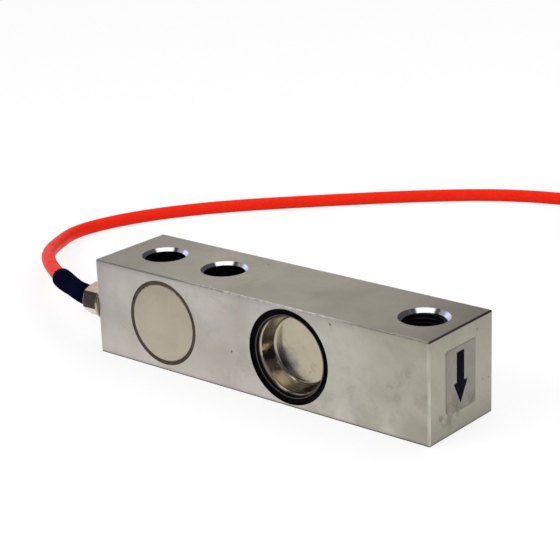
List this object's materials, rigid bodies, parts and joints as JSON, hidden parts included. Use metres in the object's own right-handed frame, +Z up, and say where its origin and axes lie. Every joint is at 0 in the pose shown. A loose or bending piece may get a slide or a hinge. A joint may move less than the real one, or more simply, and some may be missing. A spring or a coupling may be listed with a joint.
{
  "type": "beam load cell",
  "caption": "Square-section shear beam load cell with bolt holes, a threaded load hole, sealed gauge pockets, a hex cable gland and a coiled sheathed cable.",
  "frame": {"origin": "on the base face, midway between the two mounting holes", "axes": "+X along the beam from the cable end towards the load end, +Z up through the mounting holes, +Y from the face with the wiring cover to the far side"},
  "size_m": [0.2745, 0.2426, 0.0318],
  "materials": {
    "beam_steel": "fine ground stainless steel",
    "cover_steel": "warm satin steel disc",
    "cup_steel": "drawn satin steel",
    "plated_steel": "plated, semi-bright",
    "dark_sealant": "cured sealant",
    "sleeve_plastic": "shrunk plastic sleeve",
    "cable_jacket": "orange-red jacket",
    "potting": "filled resin",
    "o_ring_rubber": "moulded rubber",
    "gauge_foil": "polyimide carrier",
    "board_green": "coated laminate",
    "solder": "bright solder",
    "resistor_blue": "lacquered resistors",
    "tinned_copper": "tinned copper",
    "enamel_wire": "enamelled wire",
    "wire_red": "insulated wire",
    "wire_black": "insulated wire",
    "wire_green": "insulated wire",
    "wire_white": "insulated wire",
    "label_foil": "worn satin foil"
  },
  "bodies": {
    "root": {"beam_body": "beam_steel", "wiring_cover": "cover_steel", "wiring_cover_sealant": "dark_sealant", "gauge_cup_front": "cup_steel", "gauge_cup_rear": "cup_steel", "cup_sealant_front": "dark_sealant", "cup_sealant_rear": "dark_sealant", "shear_gauge_front": "gauge_foil", "shear_gauge_rear": "gauge_foil", "gauge_terminals_front": "solder", "gauge_terminals_rear": "solder", "gauge_leads_front": "enamel_wire", "gauge_leads_rear": "enamel_wire", "terminal_board": "board_green", "board_adhesive": "potting", "trim_resistors": "resistor_blue", "solder_joints": "solder", "gland_body": "plated_steel", "gland_o_ring": "o_ring_rubber", "gland_potting": "potting", "drain_wire": "tinned_copper", "conductor_white": "wire_white", "conductor_green": "wire_green", "conductor_black": "wire_black", "conductor_red": "wire_red", "load_label": "label_foil", "strain_relief_sleeve": "sleeve_plastic", "cable": "cable_jacket", "cable_coil": "cable_jacket", "cable_tail": "cable_jacket", "end_sleeve": "sleeve_plastic", "flying_drain": "tinned_copper", "tinned_tips": "tinned_copper", "flying_lead_white": "wire_white", "flying_lead_green": "wire_green", "flying_lead_black": "wire_black", "flying_lead_red": "wire_red"}
  },
  "joints": []
}
